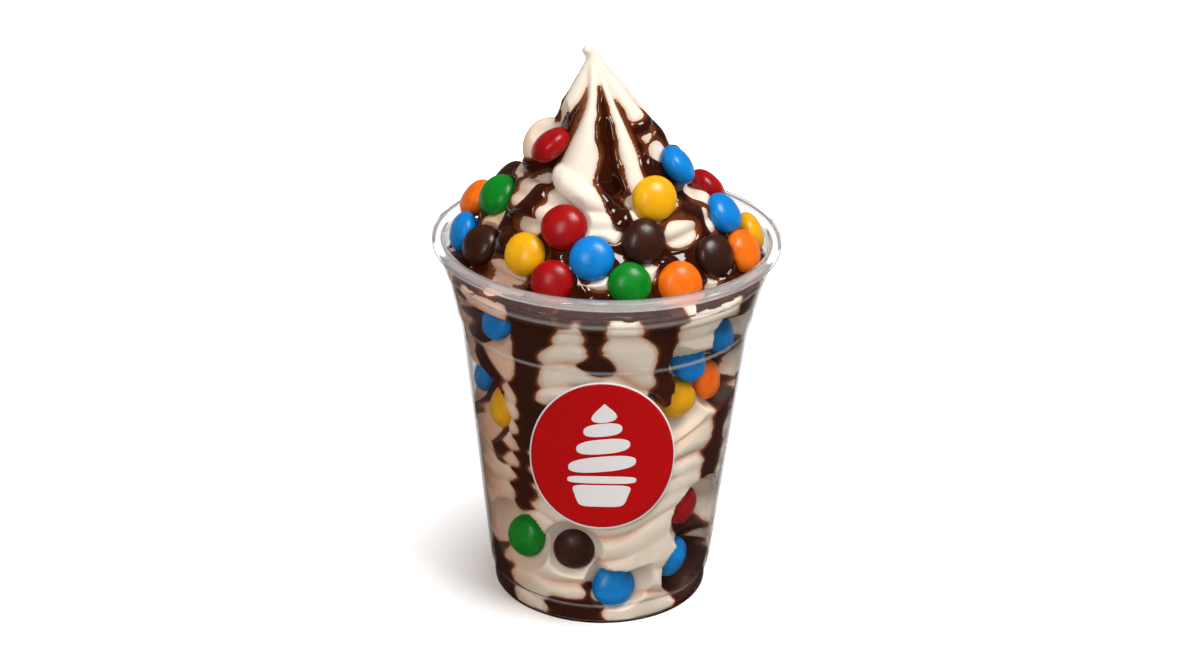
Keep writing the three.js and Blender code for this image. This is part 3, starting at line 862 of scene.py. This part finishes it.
def melted(name, skins):
    """One mesh round all skins, as points in millimetres and faces."""
    points, faces, first = [], [], 0
    for rings in skins:
        made_points, made_faces = skin(rings)
        points.append(made_points)
        faces += [[corner + first for corner in face] for face in made_faces]
        first += len(made_points)
    raw = new_object(name, np.vstack(points), faces)
    remesh = raw.modifiers.new("melt", "REMESH")
    remesh.mode = "VOXEL"
    remesh.voxel_size = VOXEL * MM
    smooth = raw.modifiers.new("soften", "SMOOTH")
    smooth.factor = 0.5
    smooth.iterations = SMOOTHING
    evaluated = raw.evaluated_get(bpy.context.evaluated_depsgraph_get())
    mesh = bpy.data.meshes.new_from_object(evaluated)
    bpy.data.objects.remove(raw)
    co = np.empty(len(mesh.vertices) * 3)
    mesh.vertices.foreach_get("co", co)
    faces = [list(p.vertices) for p in mesh.polygons]
    bpy.data.meshes.remove(mesh)
    return co.reshape(-1, 3) / MM, faces


heap_points, heap_faces = melted("heap", [bed, rope, crown, curl, *folds])
print(f"{len(heap_points)} points in the heap")

# %% [markdown]
# ## Sauce on the heap
# The sauce is thick and glossy, so it is a body of its own and not a colour. A liquid simulation
# could pour it, but it wouldn't run where the real sauce ran. So it starts as a copy of the
# heap's surface, smoothed until it bridges the narrow creases. Where sauce lies it is raised by
# about 1.5 mm with a round edge and slow ripples, and each candy presses it down nearly to its
# middle plane. Elsewhere the copy is cut away, and what is left is closed by a second surface
# inside the ice cream.

# %% Surface tools
def as_quads(faces):
    """Faces as rows of four corners; a triangle has its last one twice."""
    return np.array([f if len(f) == 4 else [*f, f[2]] for f in faces])


def sides_of(quads):
    """Both corners of each side of each face."""
    return np.vstack([quads[:, [i, (i + 1) % 4]] for i in range(4)])


def normals_of(points, quads):
    a, b, c, d = (points[quads[:, corner]] for corner in range(4))
    cross = np.cross(c - a, d - b)
    total = np.zeros_like(points)
    for corner in range(4):
        np.add.at(total, quads[:, corner], cross)
    return total / np.maximum(np.linalg.norm(total, axis=1), 1e-9)[:, None]


def relaxed(values, quads, rounds):
    """Values averaged with those of their neighbours, again and again."""
    here, there = sides_of(quads).T
    count = np.maximum(np.bincount(here, minlength=len(values)), 1)
    for _ in range(rounds):
        mean = np.stack([
            np.bincount(here, weights=column[there], minlength=len(values)) / count
            for column in values.T
        ], -1)
        values = values + 0.6 * (mean - values)
    return values


# %% [markdown]
# From the crown's grooves the sauce runs down in thick streams, and round the crown's foot they
# spread into a pool that reaches down to the brim. The streams are runs like those at the wall,
# but with angles about the crown's own axis. The pool is all that lies below a shore, whose
# height changes round the heap. Both are blended, and then bare spots are cut out of them, where
# a ridge of ice cream stands clear of the sauce.

# %% Streams from the crown
CROWN_RUNS = [  # angle, height and half width of the points of each run
    [(-27, 153.4, 0.5), (-38, 147.6, 1.4), (-54, 142.6, 3.2), (-66, 138, 3.8), (-68, 133.5, 4.0),
     (-62, 129, 4.2), (-54, 124, 4.8), (-52, 120, 5.4)],
    [(9, 153.6, 0.6), (8, 149, 1.6), (8.5, 145, 2.7), (7.5, 141.4, 2.8), (7, 137.6, 2.6),
     (7, 134.5, 3.7), (6, 131, 4.2), (9, 127, 4.2), (10, 124.8, 3.0), (8.5, 122.4, 2.0)],
    [(38, 150, 0.3), (41, 147, 0.5), (42, 144, 0.7), (46, 141.5, 1.0), (46, 139, 1.6),
     (48, 136.5, 2.6)],
    [(80, 147, 0.7), (80, 142.5, 2.2), (74, 139.5, 2.6), (60, 136, 3.2), (46, 133.4, 4.4),
     (48, 130, 4.8)],
    [(44, 141, 1.4), (56, 142.6, 2.2), (74, 144, 2.2)],
    [(76, 140, 2.0), (84, 135, 2.0), (76, 130, 2.8)],
    [(50, 131, 4.0), (62, 128, 4.4), (66, 124, 4.2), (60, 119, 4.6)],
    [(-100, 150, 0.8), (-97, 146, 1.8), (-94, 142, 1.5)],
    [(-86, 129, 2.6), (-72, 129.5, 3.0)],
]
BACK_GROOVES = slice(3, 6)
for high, low in zip(HIGH_GROOVES[BACK_GROOVES], LOW_GROOVES[BACK_GROOVES]):
    CROWN_RUNS.append(
        [(high, 150, 0.8), ((high + low) / 2, 141, 2.4), (low, 130, 2.8), (low + 8, 117, 3.4)]
    )
print(f"{len(CROWN_RUNS)} streams on the crown")

# %% The shore and the bare spots
SHORE = [  # angle and height
    (-180, 118), (-112, 119), (-98, 125), (-60, 129), (-46, 123), (-38, 120.5), (-22, 118.5),
    (0, 118.5), (14, 119), (22, 121), (35, 122), (60, 124), (84, 121), (100, 118.5), (120, 117),
    (180, 118),
]
BARE_SPOTS = [  # angle round the cup, height, half width and half height of ice cream left bare
    (-49, 118, 4.6, 2.5),
    (-48, 106.2, 7.0, 3.3),
    (-65, 125.5, 3.0, 3.8),
    (-78, 114.7, 4.4, 3.0),
    (-5, 121.2, 4.2, 2.2),
    (41, 118.2, 6.0, 3.6),
    (19, 124.6, 2.2, 3.0),
    (78, 123.6, 3.6, 2.6),
    (66, 118.4, 1.9, 3.4),
    (61, 135.8, 2.4, 3.0),
    (-3, 109.1, 2.4, 1.2),
    (19.5, 111.5, 1.4, 1.6),
    (48, 104.2, 3.6, 1.8),
    (86, 106, 3.4, 3.0),
    (120, 114, 6.0, 4.0),
    (148, 106, 6.0, 3.4),
    (176, 115, 5.5, 4.2),
    (206, 107, 6.5, 3.4),
    (232, 115, 5.5, 4.0),
]


# %% How deep inside the sauce on the heap
CROWN_SLOPE = 1.25  # millimetres along the crown's side for each millimetre of height
SHORE_SLOPE = 1.2
SHORE_WANDER = 0.35
POOL_DEPTH = 5


def sauce_on_heap(points):
    """Millimetres inside the sauce, for points on the heap."""
    x, y, z = points.T
    x_crown = x - crown_axis(z)
    angle = np.degrees(np.arctan2(x, -y))
    radius = np.hypot(x, y)
    wander = SHORE_WANDER * ripples(points, 11, 11)
    crown_angle = np.degrees(np.arctan2(x_crown, -y))
    runs = depth_inside(crown_angle, z, np.hypot(x_crown, y), CROWN_RUNS, CROWN_SLOPE)
    below_shore = np.interp(angle, *zip(*SHORE)) - z
    pool = np.clip(below_shore * SHORE_SLOPE, LEAST_DEPTH, POOL_DEPTH)
    depth = np.log(np.exp(BLEND * runs) + np.exp(BLEND * pool)) / BLEND
    for spot_angle, spot_z, half_width, half_height in BARE_SPOTS:
        across = turn_between(angle, spot_angle) * np.radians(1) * radius / half_width
        up = (z - spot_z) / half_height
        away = (np.hypot(across, up) - 1) * min(half_width, half_height)
        depth = np.minimum(depth, away)
    return depth + wander


# %% Dents in the heap, and its hollows
HEAP_DISH = (-0.8, 0.9)  # level and slope
HOLLOW_DEPTH = 0.9  # a crease this deep counts as a full hollow
GROOVE_SHARE = 0.4  # and so does a groove as deep as this share of the crown's radius
for candy in heap_candies:
    heap_points = candy.press(heap_points, *HEAP_DISH)
heap_quads = as_quads(heap_faces)
bridged = relaxed(heap_points, heap_quads, 40)
outward = normals_of(bridged, heap_quads)
heap_x, heap_y, heap_z = heap_points.T
# how deep each point of the heap lies in a crease or a crown groove, kept only as painted shade in
# the colour
hollow_shade = np.clip(((bridged - heap_points) * outward).sum(1) / HOLLOW_DEPTH, 0, 1)
groove_depth = 1 - np.hypot(heap_x - crown_axis(heap_z), heap_y) / crown_reach(heap_z)
on_crown = smooth_step(heap_z, 129, 134) * (1 - smooth_step(heap_z, 157, 161))
hollow_shade = np.maximum(hollow_shade, on_crown * np.clip(groove_depth / GROOVE_SHARE, 0, 1) ** 1.5)
print(f"{100 * (hollow_shade > 0.5).mean():.0f}% of the heap lies in hollows")

# %% Lay the sauce
SAUCE_THICKNESS = 1.5
EDGE_WIDTH = 2.2  # the sauce reaches its thickness this far inside its edge
EDGE_DIP = 0.15  # its very edge lies this far inside the ice cream
SWELL = 0.32  # how much thicker or thinner it is in slow ripples
SUNK = 0.6  # how deep in the ice cream its underside lies
SAUCE_DISH = (0.3, 0.9)
heap_sauce = relaxed(sauce_on_heap(heap_points)[:, None], heap_quads, 2)[:, 0]
edge_share = np.clip(heap_sauce / EDGE_WIDTH, 0, 1)
lift = SAUCE_THICKNESS * np.sqrt(1 - (1 - edge_share) ** 2) - EDGE_DIP
lift += SWELL * ripples(heap_points, 8, 21) * edge_share
top_points = bridged + outward * lift[:, None]
for candy in heap_candies:
    top_points = candy.press(top_points, *SAUCE_DISH)
under_points = heap_points - normals_of(heap_points, heap_quads) * SUNK
print(f"the sauce is up to {lift.max():.1f} mm thick")

# %% Cut the sauce out and close it
CUT_DEPTH = -0.25
CUT_Z = 100.5
WALL_TOUCH = 0.05  # how far into the wall the sauce may reach
top_x, top_y, top_z = top_points.T
wet = (heap_sauce > CUT_DEPTH) & (heap_z > CUT_Z)
wet &= np.hypot(top_x, top_y) < wall_inside(top_z) + WALL_TOUCH
used, kept = np.unique(heap_quads[wet[heap_quads].all(1)], return_inverse=True)
kept = kept.reshape(-1, 4)
count = len(used)
sides = sides_of(kept)
sides = sides[sides[:, 0] != sides[:, 1]]
forward_keys = sides[:, 0] * count + sides[:, 1]
border = sides[~np.isin(forward_keys, sides[:, 1] * count + sides[:, 0])]  # seen one way only
walls = np.stack([border[:, 1], border[:, 0], border[:, 0] + count, border[:, 1] + count], -1)
shell_faces = np.vstack([kept, kept[:, ::-1] + count, walls])
shell_points = np.vstack([top_points[used], under_points[used]])
shell_faces = [list(dict.fromkeys(face)) for face in shell_faces.tolist()]
print(f"{count} points on top of the sauce, {len(border)} sides round it")

# %% [markdown]
# Vanilla soft serve is warm white and moist, and light goes a little way into it, so it gets
# subsurface light. Close to sauce it is stained. In its creases and grooves it is tinted tan as
# painted shade, and the left side is tinted tan as well, partly sauce stirred in there and partly
# painted shade of the side turned away from the key light. Sauce at the wall could be a body too,
# but squeezed flat behind plastic it shows no thickness. So there the same material turns into
# thin sauce by the stored depth: first tan, then orange-brown at the edge, then dark.

# %% Colours of the soft serve and the sauce
CREAM = (0.88, 0.80, 0.69)
CREAM_SHADE = (0.82, 0.71, 0.57)
STAIN = (0.52, 0.27, 0.13)
# the tan of stirred-in sauce, also used as painted shade in creases and on the left side
TAN = (0.70, 0.37, 0.23)
FILM = (0.40, 0.15, 0.05)
THIN_SAUCE = (0.17, 0.042, 0.011)
DARK_SAUCE = (0.048, 0.009, 0.003)
THICK_SAUCE = (0.034, 0.006, 0.002)

# %% Finish of the soft serve
FIELD_SPAN = 6.0  # millimetres of depth that a ramp spreads over 0 to 1, around its middle
SIDE_SPAN = 100  # millimetres to the left that a ramp spreads over 0 to 1


def sauce_depth(paint):
    """The stored depth for a ramp, 0.5 at the sauce's edge."""
    return paint.field("sauce") * (1 / FIELD_SPAN) + 0.5


def soft_serve_finish():
    paint = Paint("vanilla_soft_serve")
    depth = sauce_depth(paint) + (paint.noise(1.3) - 0.5) * 0.1
    cream = paint.mix(paint.noise(7.0, 3.0), CREAM, CREAM_SHADE)
    # the left side is tinted tan: partly sauce stirred in there, partly painted shade of the side
    # away from the key light
    left = paint.ramp(paint.along("X") * (-1 / (SIDE_SPAN * MM)), [(0.12, BLACK), (0.34, WHITE)])
    tan_smear_and_shade = left * (0.45 + 0.9 * paint.noise(15.0, 1.0))
    # creases and grooves tinted tan: painted shade
    tan_smear_and_shade = tan_smear_and_shade.maths("MAXIMUM", paint.field("crease") * 0.65)
    cream = paint.mix(tan_smear_and_shade, cream, TAN)
    near = paint.ramp(depth, [(0.22, BLACK), (0.49, WHITE)])
    stained = paint.mix(near * 0.6, cream, STAIN)
    sauce = paint.ramp(depth, [(0.5, FILM), (0.57, THIN_SAUCE), (0.72, DARK_SAUCE)])
    covered = paint.ramp(depth, [(0.46, BLACK), (0.54, WHITE)])
    return paint.surface(
        Base_Color=paint.mix(covered, stained, sauce),
        Roughness=0.45,
        Specular_IOR_Level=0.2,
        Normal=paint.bump(paint.noise(0.8, 3.0), 0.05),
        Subsurface_Weight=0.2,
        Subsurface_Radius=(2.4, 1.6, 1.0),
        Subsurface_Scale=MM,
    )


# %% Finish of the thick sauce
def sauce_finish():
    paint = Paint("chocolate_sauce")
    colours = [(0.46, FILM), (0.52, THIN_SAUCE), (0.68, THICK_SAUCE)]
    return paint.surface(
        Base_Color=paint.ramp(sauce_depth(paint), colours),
        Roughness=0.07 + 0.05 * paint.noise(4.0),
        Normal=paint.bump(paint.noise(5.0, 1.0), 0.15),
        Specular_IOR_Level=0.4,
        Coat_Weight=0.15,
        Coat_Roughness=0.04,
    )


# %% [markdown]
# Under the thick sauce the heap's own surface doesn't show, so there its stored depth stays just
# outside the edge and only stains it. Where the heap meets the wall its depth passes over into
# that of the wall, so that the runs go on without a seam.

# %% Put the soft serve and the sauce in place
AT_WALL = (42.5, 44.0)  # distances from the axis between which the heap's depth passes over
STAIN_SHIFT = 0.8
STAIN_DEPTHS = (-6, -0.35)
heap_angle = np.degrees(np.arctan2(heap_x, -heap_y))
at_wall = smooth_step(np.hypot(heap_x, heap_y), *AT_WALL)
heap_field = np.clip(heap_sauce - STAIN_SHIFT, *STAIN_DEPTHS) * (1 - at_wall)
heap_field += sauce_at_wall(heap_angle, np.minimum(heap_z, BRIM)) * at_wall
vanilla = soft_serve_finish()
filling = new_object("soft_serve_filling", filling_points, filling_faces, [vanilla])
add_field(filling, "sauce", sauce_field)
# the crease field only darkens the colour in creases, as painted shade
add_field(filling, "crease", crease_shade_field)
piece(filling, "soft_serve", "soft_serve")
heap = new_object("soft_serve_heap", heap_points, heap_faces, [vanilla])
add_field(heap, "sauce", heap_field)
add_field(heap, "crease", hollow_shade)
piece(heap, "soft_serve", "soft_serve")
sauce = new_object("chocolate_sauce", shell_points, shell_faces, [sauce_finish()])
add_field(sauce, "sauce", np.tile(heap_sauce[used], 2))
piece(sauce, "sauce", "soft_serve")

# %% [markdown]
# ## The print
# The front of the cup carries a printed disc in red with a thin white outline. It could be a
# coloured area of the plastic, but then its edge would be seen through the wall and shine like
# it. Print is a film of ink on the curved wall, so each field is a thin sheet bent round the cup.
# On the disc is a plain sign for soft serve: a tub with its rim, three tilted bars, each narrower
# than the one under it, and a drop on top.

# %% Inks
def ink(name, colour):
    paint = Paint(name)
    patchy = paint.noise(2.0)
    return paint.surface(
        Base_Color=paint.mix(patchy, colour, tuple(0.93 * c for c in colour)),
        Roughness=0.25 + 0.08 * patchy,
        Specular_IOR_Level=0.1,
    )


RED_INK = ink("red_ink", (0.52, 0.0015, 0.003))
WHITE_INK = ink("white_ink", (0.88, 0.85, 0.85))

# %% A field of ink
PRINT_Z = 58
PRINT_SAG = math.tan(VIEW_DOWN)  # the print hangs lower at its sides, so looks round from above
INK = 0.05  # thickness of a layer of ink
INK_GAP = 0.02  # between the wall and the first layer
BAR_TILT = 0.12


def ink_field(name, material, layer, place, size, squareness, taper=0, tilt=0):
    """A thin sheet on the wall. Place and size are across and up, the size as half width and height.

    A squareness of 2 makes an ellipse, and more a bar. Taper widens it towards the top and tilt
    raises its right end, both as a share.
    """
    across, up = place
    half_width, half_height = size
    way = np.linspace(0, 2 * np.pi, 128, endpoint=False)[None, :]
    share = np.linspace(0, 1, 25)[:, None]
    c, s = np.cos(way), np.sin(way)
    swell = (np.abs(c) ** squareness + np.abs(s) ** squareness) ** (-1 / squareness)
    x = across + share * half_width * swell * c * (1 + taper * share * swell * s)
    wall_radius = wall_outside(PRINT_Z)
    sag = PRINT_SAG * wall_radius * (1 - np.cos(x / wall_radius))
    z = PRINT_Z + up + share * half_height * swell * s + tilt * (x - across) - sag
    angle = np.degrees(x / wall_outside(z))
    low = INK * layer + INK_GAP
    back = around(angle, wall_outside(z) + low, z)
    front = around(angle, wall_outside(z) + low + INK, z)
    made = new_object(name, *skin(np.concatenate([front, back[::-1]])), [material])
    piece(made, "print")


# %% Print the sign
BARS = [((0, -2.4), (9.4, 2.5)), ((0.2, 3.4), (7.4, 2.4)), ((0, 8.8), (5.3, 2.1))]
ink_field("print_outline", WHITE_INK, 0, (0, 0), (21.2, 24.2), 2)
ink_field("print_disc", RED_INK, 1, (0, 0), (20.7, 23.6), 2)
for number, (place, size) in enumerate(BARS):
    ink_field(f"print_bar_{number}", WHITE_INK, 2, place, size, 2.6, tilt=BAR_TILT)
ink_field("print_drop", WHITE_INK, 2, (0.3, 14.2), (2.9, 3.0), 2, taper=-0.75, tilt=BAR_TILT)
ink_field("print_rim", WHITE_INK, 2, (0, -7.6), (9.6, 1.2), 4)
ink_field("print_tub", WHITE_INK, 2, (0, -13.0), (7.4, 3.6), 6, taper=0.16)

# %% [markdown]
# ## Floor and light
# The sundae stands on a pale floor that fades into white. A large lit floor would do, but it
# would also shine up into the cup from below and lay a white band in every gloss. So the camera
# sees a floor that glows evenly, except close round the foot, where the glow dims to a warm brown
# and leaves a painted shadow. Light that bounces sees a plain matt floor, and gloss sees one that
# is dark in front and light behind.

# %% What a ray has done before
def has_bounced(paint, kind):
    """1 where the ray has bounced that way before it arrived here, and 0 elsewhere."""
    return paint.node("ShaderNodeLightPath", output=f"{kind} Depth").maths("MINIMUM", 1.0)


def is_direct(paint):
    """1 for what the camera sees, also through the plastic, and 0 for what bounces off it."""
    straight = paint.node("ShaderNodeLightPath", output="Is Camera Ray")
    through = paint.node("ShaderNodeLightPath", output="Is Transmission Ray")
    bounced = has_bounced(paint, "Glossy").maths("MAXIMUM", has_bounced(paint, "Diffuse"))
    return straight.maths("MAXIMUM", through * (1 - bounced))


# %% Floor
GLOW_SPAN = 200  # millimetres from the middle that a ramp spreads over 0 to 1
BEHIND_SPAN = 500  # and millimetres towards the back


def floor_finish():
    paint = Paint("pale_floor")
    shade = paint.mix(paint.noise(40.0), grey(0.93), grey(0.91))
    far = paint.node("ShaderNodeVectorMath", {"operation": "LENGTH"}, {0: paint.place()}, "Value")
    far = far * (1 / (GLOW_SPAN * MM))
    # the glow dims to warm brown round the foot: a painted shadow; beyond it the glow washes out the
    # lamps' shadow
    glow_and_painted_shadow = paint.ramp(far, [(0.16, (0.14, 0.10, 0.075)), (0.36, grey(0.8))])
    seen = paint.principled(
        Base_Color=shade, Roughness=0.6, Emission_Color=glow_and_painted_shadow, Emission_Strength=1.0
    )
    matt = paint.node("ShaderNodeBsdfDiffuse", None, {"Color": (0.6, 0.58, 0.55, 1)})
    back = paint.along("Y") * (1 / (BEHIND_SPAN * MM))
    behind = paint.ramp(back, [(0.1, grey(0.04)), (0.7, grey(0.7))])
    mirrored = paint.node("ShaderNodeEmission", None, {"Color": behind})
    unseen = paint.mix_shader(has_bounced(paint, "Glossy"), matt, mirrored)
    return paint.finished(paint.mix_shader(is_direct(paint), unseen, seen))


FLOOR_HALF = 4000
floor_points = np.array([(-1, -1, 0), (1, -1, 0), (1, 1, 0), (-1, 1, 0)]) * FLOOR_HALF
floor = new_object("floor", floor_points, [[0, 1, 2, 3]], [floor_finish()])
floor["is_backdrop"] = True
print(f"a floor {2 * FLOOR_HALF * MM:.0f} m across")

# %% [markdown]
# The light is that of a small studio: an even surround, a large softbox high on the right, whose
# shadow falls to the lower left, and a narrow strip on the left that draws thin lights on the
# sauce and the shells. An even surround alone would show as a milky film on everything glossy,
# so gloss sees a darker room with a lighter wall behind the sundae.

# %% Surround
def surround(strength, far_side, near_side):
    """An even white surround, and the grey of the far and the near wall that gloss sees."""
    sky = Paint("surround", bpy.data.worlds)
    way = sky.node("ShaderNodeTexCoord", output="Generated")
    way = sky.node("ShaderNodeSeparateXYZ", None, {0: way}, "Y")
    room = sky.ramp(way * 0.5 + 0.5, [(0.55, grey(near_side)), (0.9, grey(far_side))])
    colour = sky.mix(has_bounced(sky, "Glossy"), grey(strength), room)
    background = sky.node("ShaderNodeBackground", None, {"Color": colour})
    sky.node("ShaderNodeOutputWorld", None, {"Surface": background})
    return sky.material


bpy.context.scene.world = surround(strength=0.45, far_side=0.09, near_side=0.012)

# %% Softboxes
LIT_POINT = Vector((0, 0, 0.08))  # the softboxes look at the middle of the sundae


def softbox(name, place, width, height, power):
    """A rectangle of light. Its place, width and height are in metres and its power in watts."""
    light = bpy.data.objects.new(name, bpy.data.lights.new(name, "AREA"))
    light.data.shape = "RECTANGLE"
    light.data.size = width
    light.data.size_y = height
    light.data.energy = power
    light.location = place
    light.rotation_mode = "QUATERNION"
    light.rotation_quaternion = (LIT_POINT - Vector(place)).to_track_quat("-Z", "Y")
    bpy.context.scene.collection.objects.link(light)


softbox("key_light", (0.29, -0.22, 0.88), 0.36, 0.36, 6.7)
softbox("front_light", (-0.35, -0.75, 0.6), 0.06, 0.45, 1.9)
bpy.context.scene.view_settings.view_transform = "Standard"
print("two softboxes and the surround")

# %% [markdown]
# Last, the box round the finished pieces is worked out. Modelling must not change the size of the
# sundae.

# %% Sizes, and the end
low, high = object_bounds()
